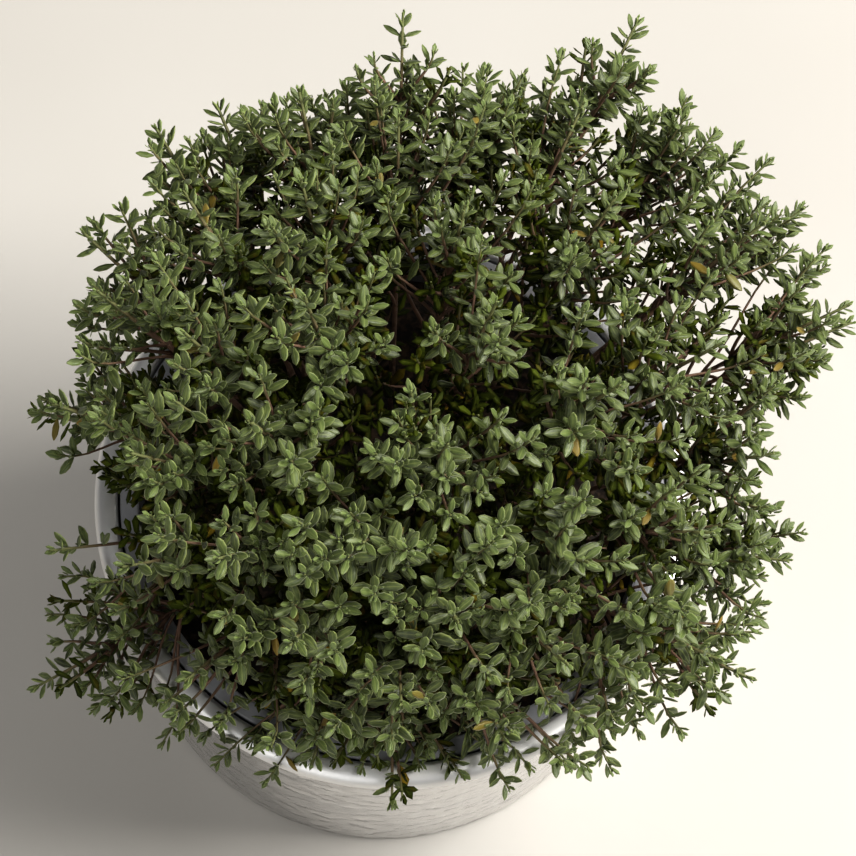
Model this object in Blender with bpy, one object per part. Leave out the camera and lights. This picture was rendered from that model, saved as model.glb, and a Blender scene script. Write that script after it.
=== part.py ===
"""Potted thyme: a dense bush of leafy stems in soil, in a plain liner that stands in a squat metal pot.

Metres, +Z up. The origin is the centre of the pot's flat underside. Each leafy stem is one solid: a woody
stem with side shoots, and opposite pairs of leaves that turn a quarter from one pair to the next.
"""

import math

import bmesh
import bpy
import numpy as np

MM = 0.001

# Pot: a turned metal shell with a flat rolled rim
RIM_RADIUS = 80 * MM
RIM_INNER_RADIUS = 73.7 * MM
RIM_DEPTH = 6.5 * MM
POT_HEIGHT = 103 * MM
WALL_TOP_RADIUS = 77 * MM
BASE_RADIUS = 74.7 * MM
FOOT_CURVE = 3 * MM
POT_WALL = 1.6 * MM
RIM_EDGE = 1.2 * MM
POT_SIDES = 40
SHARP_ANGLE = math.radians(35)

# Liner: a thin cup with a narrow flat lip, which stands on the pot's floor
GAP = 0.3 * MM
LIP_GAP = 0.8 * MM
LIP_WIDTH = 4.4 * MM
LIP_THICKNESS = 1.4 * MM
LIP_DROP = 1.2 * MM
LINER_WALL = 1.2 * MM
LINER_BASE_RADIUS = 62 * MM
LINER_SIDES = 30
DRAIN_RADIUS = 3.5 * MM
DRAIN_CIRCLE = 38 * MM
DRAIN_SIDES = 8
DRAINS = 5

# Soil: its surface lies below the rim and is mounded in the middle, with a hole for each stem
SOIL_DROP = 13 * MM
SOIL_MOUND = 2.5 * MM
SOIL_RINGS = (0.75, 0.45)
HOLE_DEPTH = 9 * MM
HOLE_RADIUS = 1.9 * MM
HOLE_SIDES = 4

# Canopy: reach from the pot's axis and rise of its skirt above the rim, in millimetres, every 15 degrees
# anticlockwise from +X, and the rise of its crown
COMPASS_REACH = (
    *(101, 113, 117, 111, 105, 98, 96, 90, 91, 94, 91, 87),
    *(88, 82, 86, 92, 86, 84, 80, 78, 86, 94, 102, 99),
)
COMPASS_RISE = (
    *(26, 30, 32, 32, 30, 28, 26, 26, 26, 24, 22, 18),
    *(14, 10, 6, 4, 3, 3, 3, 3, 4, 5, 10, 18),
)
CROWN_RISE = 100 * MM
REACH_POWER = 0.9
RISE_POWER = 0.7
RULED_STEMS = 43
FLANK_SHARE = 0.5
FIRST_AZIMUTH = 0.4
GOLDEN_ANGLE = math.radians(137.508)
TIP_WANDER = np.array((3, 3, 5)) * MM

# Stray sprays that stand out of the canopy: azimuth in degrees, reach and rise over the rim in millimetres
STRAY_SPRAYS = {
    "back_peak": (96, 91, 90),
    "back_right_peak": (64, 109, 86),
    "far_right": (19, 115, 54),
    "far_left_low": (217, 106, 7),
    "left": (178, 90, 34),
    "back_left": (136, 94, 66),
    "front": (275, 84, 3),
    "right_front": (333, 104, 22),
}

# Stems: each leaves the soil at a share of its tip's reach, goes up before it swings out, and ends rising
ROOT_SHARE = 0.42
LIFT_SHARE = 0.5
LEAST_LIFT = 24 * MM
EARLY_RUN = 0.1
LATE_RUN = 0.35
LATE_LIFT = 0.25
STEM_RADIUS = 1.1 * MM
STEM_TIP_RADIUS = 0.6 * MM
STEM_STEPS = 4

# Side shoots: the share of the stem where each leaves, its length, and its quarter turns round the stem
SIDE_SHOOTS = ((0.5, 27 * MM, 0), (0.5, 27 * MM, 2), (0.7, 20 * MM, 1))
SHOOT_RADIUS = 0.7 * MM
SHOOT_TIP_RADIUS = 0.5 * MM
SHOOT_STEPS = 2
SHOOT_SPREAD = math.radians(48)
SHOOT_RISE = 0.5
SHOOT_EASE = 0.7

# Leaves: two long and two short ones in a whorl, each with its length and its lean in degrees, counted up
# from square to the shoot. They are about twice as long as real ones, so that this many cover the bush. The
# whorl on a stem has its distance from the tip first.
CROWN_LEAVES = ((11.5 * MM, 20), (9.5 * MM, 40))
STEM_WHORL = (12 * MM, ((11.5 * MM, 12), (9.5 * MM, 22)))
NODE_LENGTH = 1 * MM
CROWN_HEIGHT = 1.3 * MM
LEAF_WIDTH_SHARE = 0.5
LEAF_THICKNESS = 0.7 * MM
LEAF_ARCH = 0.08

# Room kept between one stem and the next, tested with balls along each path and each blade
CLEARANCE = 0.5 * MM
BALL_STEP = 1.2 * MM
BLADE_PLACES = np.array((0.2, 0.36, 0.52, 0.68, 0.84, 0.98))
BLADE_RADII = np.array((0.22, 0.4, 0.5, 0.36, 0.2, 0.06))

UP = np.array([0.0, 0.0, 1.0])


def unit(vector):
    return vector / np.linalg.norm(vector)


def turn(vector, axis, angle):
    """The vector turned about a unit axis."""
    along = axis * (vector @ axis)
    return along + (vector - along) * math.cos(angle) + np.cross(axis, vector) * math.sin(angle)


def compass(values, azimuth):
    """A smooth value between those given for evenly spaced azimuths, in metres."""
    place = (azimuth / (2 * math.pi) * len(values)) % len(values)
    first = int(place)
    share = place - first
    share = share * share * (3 - 2 * share)
    return (values[first] * (1 - share) + values[(first + 1) % len(values)] * share) * MM


def canopy(azimuth, fall):
    """A point of the canopy, fall being the angle down from its crown."""
    reach = compass(COMPASS_REACH, azimuth) * math.sin(fall) ** REACH_POWER
    skirt = compass(COMPASS_RISE, azimuth)
    rise = skirt + (CROWN_RISE - skirt) * math.cos(fall) ** RISE_POWER
    return np.array([reach * math.cos(azimuth), reach * math.sin(azimuth), POT_HEIGHT + rise])


def stem_tips():
    """The tips: a sunflower spiral over the canopy, each wandering a little, then the stray sprays."""
    draw = np.random.default_rng(7)
    tips = []
    for k in range(RULED_STEMS):
        share = (k + 0.5) / RULED_STEMS
        fall = math.asin(math.sqrt((1 + FLANK_SHARE) * share - FLANK_SHARE * share**2))
        tip = canopy(FIRST_AZIMUTH + k * GOLDEN_ANGLE, fall)
        tips.append(tip + draw.uniform(-1, 1, 3) * TIP_WANDER)
    for degrees, reach, rise in STRAY_SPRAYS.values():
        azimuth = math.radians(degrees)
        tip = np.array([reach * math.cos(azimuth), reach * math.sin(azimuth), rise])
        tips.append(tip * MM + POT_HEIGHT * UP)
    return tips


def bezier(controls, share):
    """Points of the cubic curve of four control points."""
    t = np.atleast_1d(share)[:, None]
    a, b, c, d = controls
    return a * (1 - t) ** 3 + 3 * b * t * (1 - t) ** 2 + 3 * c * t**2 * (1 - t) + d * t**3


def stem_controls(tip):
    """Goes upright from the soil, swings outwards and ends rising to its tip."""
    x, y = tip[:2] * ROOT_SHARE
    root = np.array([x, y, soil_height(x, y)])
    run = (tip - root) * (1, 1, 0)
    height = tip[2] - root[2]
    lower = root + UP * max(LIFT_SHARE * height, LEAST_LIFT) + EARLY_RUN * run
    upper = tip - LATE_RUN * run - UP * LATE_LIFT * height
    return root, lower, upper, tip


def soil_height(x, y):
    """The soil is mounded a little towards the middle."""
    return POT_HEIGHT - SOIL_DROP + SOIL_MOUND * (1 - (math.hypot(x, y) / SOIL_RADIUS) ** 2)


def liner_inner_radius(height):
    """The liner's inside tapers from its lip to its floor."""
    share = (height - LINER_FLOOR) / (LINER_TOP - LINER_FLOOR)
    return (LINER_BASE_RADIUS - LINER_WALL) * (1 - share) + LIP_INNER_RADIUS * share


LINER_TOP = POT_HEIGHT - LIP_DROP
LINER_BOTTOM = POT_WALL + GAP
LINER_FLOOR = LINER_BOTTOM + LINER_WALL
LIP_OUTER_RADIUS = RIM_INNER_RADIUS - LIP_GAP
LIP_INNER_RADIUS = LIP_OUTER_RADIUS - LIP_WIDTH
SOIL_RADIUS = liner_inner_radius(POT_HEIGHT - SOIL_DROP) - GAP


class Growth:
    """Balls that stand for what has grown so far, so that stems keep clear of others and of the pot."""

    def __init__(self):
        self.centres = np.zeros((0, 3))
        self.radii = np.zeros(0)
        self.owners = np.zeros(0, int)

    def is_clear(self, centres, radii, owner):
        others = self.owners != owner
        apart = np.linalg.norm(centres[:, None] - self.centres[others][None], axis=2)
        if (apart < radii[:, None] + self.radii[others][None] + CLEARANCE).any():
            return False
        out = np.hypot(centres[:, 0], centres[:, 1])
        over_rim = (out > LIP_INNER_RADIUS - radii) & (out < RIM_RADIUS + radii + CLEARANCE)
        over_soil = POT_HEIGHT - SOIL_DROP + SOIL_MOUND
        floor = np.where(over_rim, POT_HEIGHT, np.where(out > RIM_RADIUS, 0, over_soil))
        return (centres[:, 2] - radii > floor + CLEARANCE).all()

    def keep(self, centres, radii, owner):
        self.centres = np.concatenate([self.centres, centres])
        self.radii = np.concatenate([self.radii, radii])
        self.owners = np.concatenate([self.owners, np.full(len(radii), owner)])


def balls_along(points, radius, tip_radius):
    """Balls every millimetre or so along a path."""
    count = max(2, int(np.linalg.norm(np.diff(points, axis=0), axis=1).sum() / BALL_STEP))
    place = np.linspace(0, len(points) - 1, count)
    first = np.minimum(place.astype(int), len(points) - 2)
    share = (place - first)[:, None]
    centres = points[first] * (1 - share) + points[first + 1] * share
    return centres, np.linspace(radius, tip_radius, count)


def blade_balls(root, along, length):
    """Balls along a blade, as wide as it is there."""
    return root + along * length * BLADE_PLACES[:, None], BLADE_RADII * LEAF_WIDTH_SHARE * length


def run_of(path):
    """The distance of each point of a path from its start."""
    return np.concatenate([[0], np.cumsum(np.linalg.norm(np.diff(path, axis=0), axis=1))])


def with_rings(path, radii, places):
    """The path and its radii with points added at these distances from its start."""
    run = run_of(path)
    at = np.sort(np.concatenate([run, places]))
    points = np.stack([np.interp(at, run, path[:, axis]) for axis in range(3)], axis=1)
    return points, np.interp(at, run, radii), np.searchsorted(at, places)


def frames(path, side):
    """The direction of a path at each point, and a side direction carried along it without twisting."""
    ahead = np.concatenate([path[1:], path[-1:]]) - np.concatenate([path[:1], path[:-1]])
    tangents = [unit(step) for step in ahead]
    sides = []
    for tangent in tangents:
        side = unit(side - tangent * (side @ tangent))
        sides.append(side)
    return tangents, sides


def leafy_shoot(path, radii, side, whorl, crown, owner, grown):
    """A square shoot as points and faces, with its leaves in the same skin.

    A whorl's leaves grow from the four sides of one short stretch, and the crown's from the end. A leaf is
    an arched lozenge with a ridge on its upper side. One that isn't clear of other stems is left out.
    """
    run = run_of(path)[-1]
    places = [run - whorl[0] - NODE_LENGTH / 2, run - whorl[0] + NODE_LENGTH / 2] if whorl else []
    path, radii, rings = with_rings(path, radii, places)
    tangents, sides = frames(path, side)
    points = []
    for centre, radius, tangent, first in zip(path, radii, tangents, sides):
        points += [centre + radius * turn(first, tangent, math.pi / 2 * (j - 0.5)) for j in range(4)]
    faces = [(3, 2, 1, 0)]
    for k in range(len(path) - 1):
        leafy = whorl and k == rings[0]
        for j in range(4):
            low = (4 * k + j, 4 * k + (j + 1) % 4)
            high = (low[0] + 4, low[1] + 4)
            leaf = leafy and leaf_at(path[k], tangents[k], sides[k], j, whorl[1], owner, grown)
            if leaf:
                points, faces = add_leaf(points, faces, leaf, low, high)
            else:
                faces.append((*low, *reversed(high)))
    last = 4 * len(path) - 4
    top = len(points)
    points.append(path[-1] + tangents[-1] * CROWN_HEIGHT)
    for j in range(4):
        edge = (last + j, last + (j + 1) % 4)
        leaf = leaf_at(path[-1], tangents[-1], sides[-1], j, crown, owner, grown)
        if leaf:
            right, end, left, _ = range(len(points), len(points) + 4)
            points += leaf[:3]
            faces += [(top, edge[0], right), (top, right, end), (top, end, left), (top, left, edge[1])]
            faces += under_leaf(edge, right, end, left)
        else:
            faces.append((top, *edge))
    return points, faces


def leaf_at(centre, tangent, side, j, leaves, owner, grown):
    """The right, end, left and ridge points of the leaf on side j, or None where a stem is too near."""
    length, degrees = leaves[j % 2]
    lean = math.radians(degrees)
    outward = turn(side, tangent, math.pi / 2 * j)
    along = outward * math.cos(lean) + tangent * math.sin(lean)
    upper = tangent * math.cos(lean) - outward * math.sin(lean)
    balls = blade_balls(centre, along, length)
    if not grown.is_clear(*balls, owner):
        return None
    grown.keep(*balls, owner)
    half_width = np.cross(tangent, outward) * 0.5 * LEAF_WIDTH_SHARE * length
    middle = centre + along * 0.5 * length
    end = centre + along * length - upper * LEAF_ARCH * length
    return middle - half_width, end, middle + half_width, middle + upper * LEAF_THICKNESS


def under_leaf(low, right, end, left):
    """The faces of a leaf's underside."""
    return [(low[0], low[1], left), (low[0], left, right), (right, left, end)]


def add_leaf(points, faces, leaf, low, high):
    """A leaf on one side of a whorl, between the lower and the upper edge of that side."""
    right, end, left, ridge = range(len(points), len(points) + 4)
    around = [high[0], right, end, left, high[1]]
    over = [(ridge, around[k], around[(k + 1) % 5]) for k in range(5)]
    edges = [(low[0], right, high[0]), (low[1], high[1], left)]
    return points + list(leaf), faces + over + edges + under_leaf(low, right, end, left)


def shoot_path(stem, share, length, quarter, side):
    """A side shoot leaves the stem at an angle and turns up towards the light."""
    place = share * (len(stem) - 1)
    first = int(place)
    start = stem[first] + (stem[first + 1] - stem[first]) * (place - first)
    tangent = unit(stem[first + 1] - stem[first])
    outward = turn(unit(side - tangent * (side @ tangent)), tangent, math.pi / 2 * quarter)
    leaving = tangent * math.cos(SHOOT_SPREAD) + outward * math.sin(SHOOT_SPREAD)
    middle = start + leaving * length * 0.5
    end = middle + unit(leaving + tangent + SHOOT_RISE * UP) * length * 0.5
    controls = (start, start + (middle - start) * SHOOT_EASE, end - (end - middle) * SHOOT_EASE, end)
    return bezier(controls, np.linspace(0, 1, SHOOT_STEPS + 1))


def grow_paths(grown):
    """The path and side direction of every stem, and the paths of those side shoots that are clear."""
    stems = []
    for owner, tip in enumerate(stem_tips()):
        path = bezier(stem_controls(tip), np.linspace(0, 1, STEM_STEPS + 1))
        grown.keep(*balls_along(path, STEM_RADIUS, STEM_TIP_RADIUS), owner)
        lean = unit(path[-1] - path[0])
        side = turn(unit(np.cross(lean, (1, 0.2, 0))), lean, owner * GOLDEN_ANGLE)
        stems.append((path, side, []))
    for owner, (path, side, shoots) in enumerate(stems):
        for share, length, quarter in SIDE_SHOOTS:
            shoot = shoot_path(path, share, length, quarter, side)
            balls = balls_along(shoot, SHOOT_RADIUS, SHOOT_TIP_RADIUS)
            if grown.is_clear(*balls, owner):
                grown.keep(*balls, owner)
                shoots.append(shoot)
    return stems


def grow_stems():
    """Every leafy stem as a list of (points, faces), the woody stem first and then its side shoots."""
    grown = Growth()
    made = []
    for owner, (path, side, shoots) in enumerate(grow_paths(grown)):
        rooted = np.concatenate([[path[0] - UP * (HOLE_DEPTH - GAP)], path])
        radii = np.linspace(STEM_RADIUS, STEM_TIP_RADIUS, len(rooted))
        pieces = [leafy_shoot(rooted, radii, side, STEM_WHORL, CROWN_LEAVES, owner, grown)]
        for shoot in shoots:
            radii = np.linspace(SHOOT_RADIUS, SHOOT_TIP_RADIUS, len(shoot))
            pieces.append(leafy_shoot(shoot, radii, side, None, CROWN_LEAVES, owner, grown))
        made.append(pieces)
    return made


def principled(name, colour, roughness, metallic=0.0):
    material = bpy.data.materials.new(name)
    material.use_nodes = True
    shader = material.node_tree.nodes["Principled BSDF"]
    shader.inputs["Base Color"].default_value = (*colour, 1)
    shader.inputs["Roughness"].default_value = roughness
    shader.inputs["Metallic"].default_value = metallic
    return material


def mesh_object(name, points, faces, materials):
    mesh = bpy.data.meshes.new(name)
    mesh.from_pydata([tuple(p) for p in points], [], faces)
    for material in materials:
        mesh.materials.append(material)
    made = bpy.data.objects.new(name, mesh)
    bpy.context.scene.collection.objects.link(made)
    return made


def evenly_round(count):
    """This many angles, evenly spaced round a full turn."""
    return [2 * math.pi * k / count for k in range(count)]


def turned(name, profile, sides, material):
    """A solid turned round Z from a closed profile of (radius, height) points."""
    builder = bmesh.new()
    rings = []
    for radius, height in profile:
        if radius == 0:
            rings.append([builder.verts.new((0, 0, height))] * sides)
            continue
        ring = [(radius * math.cos(a), radius * math.sin(a), height) for a in evenly_round(sides)]
        rings.append([builder.verts.new(point) for point in ring])
    for ring, after in zip(rings, rings[1:] + rings[:1]):
        for k in range(sides):
            corners = [ring[k], ring[(k + 1) % sides], after[(k + 1) % sides], after[k]]
            corners = list(dict.fromkeys(corners))
            if len(corners) > 2:
                builder.faces.new(corners)
    bmesh.ops.recalc_face_normals(builder, faces=builder.faces)
    mesh = bpy.data.meshes.new(name)
    builder.to_mesh(mesh)
    builder.free()
    mesh.materials.append(material)
    mesh.shade_smooth()
    mesh.set_sharp_from_angle(angle=SHARP_ANGLE)
    made = bpy.data.objects.new(name, mesh)
    bpy.context.scene.collection.objects.link(made)
    return made


def arc(centre, radius, start, end, count):
    """Points of an arc in the (radius, height) plane, angles in degrees."""
    angles = np.radians(np.linspace(start, end, count))
    return [(centre[0] + radius * math.cos(a), centre[1] + radius * math.sin(a)) for a in angles]


def make_pot(material):
    """Floor, curved foot, slightly flared wall, and a flat rim whose edges are rolled."""
    roll = RIM_DEPTH / 2
    outside = [(0, 0)] + arc((BASE_RADIUS - FOOT_CURVE, FOOT_CURVE), FOOT_CURVE, -90, 0, 3)
    rim = [(WALL_TOP_RADIUS, POT_HEIGHT - RIM_DEPTH)]
    rim += arc((RIM_RADIUS - roll, POT_HEIGHT - roll), roll, -60, 90, 4)
    rim += arc((RIM_INNER_RADIUS + RIM_EDGE, POT_HEIGHT - RIM_EDGE), RIM_EDGE, 90, 180, 2)
    wall_foot = BASE_RADIUS - POT_WALL
    inside = [(RIM_INNER_RADIUS, POT_HEIGHT - RIM_DEPTH)]
    curve = FOOT_CURVE - POT_WALL
    inside += arc((wall_foot - curve, POT_WALL + curve), curve, 0, -90, 3) + [(0, POT_WALL)]
    return turned("pot", outside + rim + inside, POT_SIDES, material)


def make_liner(material):
    """A cup with a flat lip, and drain holes in its floor."""
    outside = [(0, LINER_BOTTOM), (LINER_BASE_RADIUS, LINER_BOTTOM)]
    neck = LIP_INNER_RADIUS + LINER_WALL
    outside += [(neck, LINER_TOP - LIP_THICKNESS), (LIP_OUTER_RADIUS, LINER_TOP - LIP_THICKNESS)]
    inside = [(LIP_OUTER_RADIUS, LINER_TOP), (LIP_INNER_RADIUS, LINER_TOP)]
    inside += [(LINER_BASE_RADIUS - LINER_WALL, LINER_FLOOR), (0, LINER_FLOOR)]
    liner = turned("liner", outside + inside, LINER_SIDES, material)
    cutters = []
    for angle in evenly_round(DRAINS):
        place = (DRAIN_CIRCLE * math.cos(angle), DRAIN_CIRCLE * math.sin(angle), LINER_BOTTOM)
        cutters.append(prism("drain", place, DRAIN_RADIUS, -LINER_WALL, 2 * LINER_WALL, DRAIN_SIDES))
    combine(liner, cutters, "DIFFERENCE")
    return liner


def prism(name, place, radius, below, above, sides):
    """An upright prism round a place, from one height to another, both counted from it."""
    x, y, z = place
    ring = [(x + radius * math.cos(a), y + radius * math.sin(a)) for a in evenly_round(sides)]
    points = [(*corner, z + height) for height in (below, above) for corner in ring]
    faces = [tuple(reversed(range(sides))), tuple(range(sides, 2 * sides))]
    faces += [(k, (k + 1) % sides, sides + (k + 1) % sides, sides + k) for k in range(sides)]
    return mesh_object(name, points, faces, [])


def combine(base, others, operation, solver="EXACT"):
    """Applies one Boolean of the others on the base, then removes the others."""
    group = bpy.data.collections.new("joined")
    bpy.context.scene.collection.children.link(group)
    for other in others:
        bpy.context.scene.collection.objects.unlink(other)
        group.objects.link(other)
    boolean = base.modifiers.new("Boolean", "BOOLEAN")
    boolean.operation = operation
    boolean.operand_type = "COLLECTION"
    boolean.collection = group
    boolean.solver = solver
    bpy.context.view_layer.update()
    graph = bpy.context.evaluated_depsgraph_get()
    combined = bpy.data.meshes.new_from_object(base.evaluated_get(graph))
    base.modifiers.clear()
    base.data = combined
    for other in others:
        bpy.data.objects.remove(other)
    bpy.data.collections.remove(group)


def make_soil(material, stems):
    """Soil that fills the liner, with a plain hole for the foot of each stem."""
    low = LINER_FLOOR + GAP
    high = POT_HEIGHT - SOIL_DROP
    profile = [(0, low), (liner_inner_radius(low) - GAP, low), (SOIL_RADIUS, high)]
    profile += [(share * SOIL_RADIUS, soil_height(share * SOIL_RADIUS, 0)) for share in SOIL_RINGS]
    profile.append((0, soil_height(0, 0)))
    soil = turned("soil", profile, LINER_SIDES, material)
    cutters = []
    for pieces in stems:
        foot = sum(pieces[0][0][:4]) / 4
        cutters.append(prism("hole", foot, HOLE_RADIUS, -GAP, 2 * HOLE_DEPTH, HOLE_SIDES))
    combine(soil, cutters, "DIFFERENCE")
    return soil


def make_stem(name, pieces, material):
    """One leafy stem: the woody stem with its side shoots fused to it."""
    stem, *shoots = [mesh_object(name, points, faces, [material]) for points, faces in pieces]
    if shoots:
        combine(stem, shoots, "UNION", "MANIFOLD")
    stem.name = name


def main():
    for old in list(bpy.data.objects):
        bpy.data.objects.remove(old)
    make_pot(principled("hammered aluminium", (0.62, 0.63, 0.64), 0.35, 1.0))
    make_liner(principled("grey liner", (0.16, 0.16, 0.165), 0.5))
    stems = grow_stems()
    make_soil(principled("potting soil", (0.02, 0.014, 0.01), 0.95), stems)
    thyme = principled("thyme leaf", (0.09, 0.15, 0.06), 0.6)
    for k, pieces in enumerate(stems):
        make_stem(f"leafy_stem_{k + 1:02d}", pieces, thyme)


main()
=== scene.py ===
"""Potted thyme: the pot, its liner, the soil and a dense bush of thyme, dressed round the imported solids.

Metres, +Z up, the origin at the centre of the pot's underside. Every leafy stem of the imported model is
replaced by a stem on the same curve with side shoots, twigs and leaves at true size.
"""

import math

import bpy
import numpy as np
from bpy.props import FloatProperty, StringProperty
from mathutils import Matrix, Vector


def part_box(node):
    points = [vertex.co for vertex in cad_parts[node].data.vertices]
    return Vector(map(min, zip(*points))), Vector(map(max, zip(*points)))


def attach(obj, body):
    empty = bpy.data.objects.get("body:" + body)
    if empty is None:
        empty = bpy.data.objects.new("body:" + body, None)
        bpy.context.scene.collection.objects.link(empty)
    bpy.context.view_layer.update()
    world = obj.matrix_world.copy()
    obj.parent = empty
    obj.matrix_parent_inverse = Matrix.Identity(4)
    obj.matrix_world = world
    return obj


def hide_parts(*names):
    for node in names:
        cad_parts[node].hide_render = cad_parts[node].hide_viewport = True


bl_info = {
    "name": "Potted Thyme",
    "version": (1, 0, 0),
    "blender": (4, 5, 0),
    "location": "3D View > Sidebar > Thyme",
    "description": "Makes a thyme bush in a hammered metal pot",
    "category": "Add Mesh",
}

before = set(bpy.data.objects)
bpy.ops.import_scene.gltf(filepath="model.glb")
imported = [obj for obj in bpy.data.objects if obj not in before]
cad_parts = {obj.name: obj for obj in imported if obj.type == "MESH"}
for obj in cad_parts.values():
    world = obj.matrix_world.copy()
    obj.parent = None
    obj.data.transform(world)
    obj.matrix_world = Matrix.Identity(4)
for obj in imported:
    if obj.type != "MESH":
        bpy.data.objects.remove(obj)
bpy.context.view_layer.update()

MM = 0.001
UP = np.array([0.0, 0.0, 1.0])

# Pot and liner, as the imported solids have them
RIM_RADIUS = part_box("pot")[1].x
POT_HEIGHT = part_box("pot")[1].z
RIM_INNER_RADIUS = 73.7 * MM
RIM_DEPTH = 6.5 * MM
WALL_TOP_RADIUS = 77 * MM
BASE_RADIUS = 74.7 * MM
FOOT_CURVE = 3 * MM
POT_WALL = 1.6 * MM
RIM_EDGE = 1.2 * MM
LIP_DROP = 1.2 * MM
LIP_OUTER_RADIUS = 73.1 * MM
LIP_INNER_RADIUS = 68.1 * MM
LIP_DEPTH = 2 * MM
LIP_CURVE = 0.7 * MM
LIP_ABOVE = 0.2 * MM
POT_SIDES = 480
POT_WALL_ROWS = 112
LIP_SIDES = 180
DENT_FADE = 3 * MM
DENT_FOOT = 1 * MM

# Soil
SOIL_DROP = 13 * MM
SOIL_MOUND = 2.5 * MM
SOIL_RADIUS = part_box("soil")[1].x
SOIL_FOOT_RADIUS = 60.6 * MM
SOIL_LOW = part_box("soil")[0].z
SOIL_SIDES = 140
SOIL_TOP_ROWS = 45
SOIL_TOP_FROM = 80 * MM

# Crumbs of the soil: width and rise of each kind, the cells of the field that they lie in, how far its middle
# is from its edge, in cells, how much of their rise they sink, and over how much of the soil's edge they fade
CRUMB_SIZES = ((3.4 * MM, 1.1 * MM), (1.6 * MM, 0.6 * MM))
CRUMB_CELLS = 900
CRUMB_SHIFT = 400
CRUMB_SINK = 0.6
CRUMB_FADE = 2 * MM
ROOT_DEPTH = 8 * MM

# Canopy: reach from the pot's axis and rise of its skirt over the rim, in millimetres, every 15 degrees
# anticlockwise from +X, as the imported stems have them
COMPASS_REACH = np.array(
    [101, 113, 117, 111, 105, 98, 96, 90, 91, 94, 91, 87]
    + [88, 82, 86, 92, 86, 84, 80, 78, 86, 94, 102, 99]
)
COMPASS_RISE = np.array(
    [26, 30, 32, 32, 30, 28, 26, 26, 26, 24, 22, 18]
    + [14, 10, 6, 4, 3, 3, 3, 3, 4, 5, 10, 18]
)

# The canopy's crown, the powers that shape it, and the stems: those spread by rule, how much of the spiral
# lies on the flank, and how far their tips wander
CROWN_RISE = 100 * MM
REACH_POWER = 0.9
RISE_POWER = 0.7
RULED_STEMS = 43
FLANK_SHARE = 0.5
FIRST_AZIMUTH = 0.4
GOLDEN_ANGLE = math.radians(137.508)
TIP_WANDER = np.array((3, 3, 5)) * MM

# The other stems: azimuth in degrees, reach and rise over the rim in millimetres
STRAY_SPRAYS = {
    "back_peak": (96, 91, 90),
    "back_right_peak": (64, 109, 86),
    "far_right": (19, 115, 54),
    "far_left_low": (217, 106, 7),
    "left": (178, 90, 34),
    "back_left": (136, 94, 66),
    "front": (275, 84, 3),
    "right_front": (333, 104, 22),
}

# The curve of a stem: its root's distance from the axis as a share of its tip's, how far it goes upright, how
# it leans, and the steps of its solid. Then its side shoots: share of the stem, length and quarter turns.
ROOT_SHARE = 0.42
LIFT_SHARE = 0.5
LEAST_LIFT = 24 * MM
EARLY_RUN = 0.1
LATE_RUN = 0.35
LATE_LIFT = 0.25
CAD_STEPS = 4
SIDE_SHOOTS = ((0.5, 27 * MM, 0), (0.5, 27 * MM, 2), (0.7, 20 * MM, 1))
SHOOT_SPREAD = math.radians(48)
SHOOT_RISE = 0.5
SHOOT_EASE = 0.7

# How far a stem, a stray one and a side shoot go on among the leaves that their solids end in
STEM_GOES_ON = 7 * MM
STRAY_GOES_ON = 2 * MM
SHOOT_GOES_ON = 5 * MM

# Twigs that fill the canopy between the stems, in layers: how many, how far below the canopy they end, how
# shaded they are, from 0 to 1, and how far back along a stem they may start, as a share of it. Some stand
# proud of the canopy. They wander, keep apart from the stems' tips, and end rising by a share of upright.
TWIG_LAYERS = (
    (520, (-5 * MM, 6 * MM), 0.0, 0.62),
    (340, (7 * MM, 26 * MM), 0.5, 0.66),
    (130, (28 * MM, 56 * MM), 1.0, 0.75),
)
SIDE_SHOOT_SHADE = 0.5

PROUD_SHARE = 0.14
PROUD_RISE = 6 * MM
TWIG_RISING = 1.1
SPRAY_RISING = 0.35
TWIG_WANDER = 2.6 * MM
TWIG_LEAST_APART = 6 * MM

# How far below the stem's tip a twig starts: a share of its goal's distance from that tip, and more, and at
# least so far. How long its curve's handles are, as shares of its length. How much of the stem's direction
# is in the way that it leaves, and of the stem's, its own and the outward one in the way that it ends.
TWIG_BACK = (1.25, 9 * MM, 13 * MM)
TWIG_EASE = (0.35, 0.38)
TWIG_LEAVING = 0.5
TWIG_ENDING = (0.4, 0.4, 0.3)
TWIG_DRIFT = 0.12

# Low twigs that hide the soil: how many, how far from the axis, their rise over the rim, how shaded, how far
# back along a stem they may start, and the share of each stem from which the nearest one is chosen
LOW_TWIGS = 130
LOW_REACH = 67 * MM
LOW_RISE = (-7 * MM, 20 * MM)
LOW_SHADE = 1.0
LOW_BACK = 0.9
LOW_SHARE = 0.3

# Places with fewer twigs, in millimetres seen from above: x, y, radius, and the share of the twigs left out
THIN_PLACES = (
    *((64, 52, 26, 0.45), (4, 17, 9, 0.9), (-79, 3, 10, 0.7), (-77, -27, 11, 0.9)),
    *((-66, -45, 10, 0.8), (-49, -61, 11, 0.9), (-30, -72, 11, 0.8), (49, -64, 9, 0.7)),
)

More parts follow.
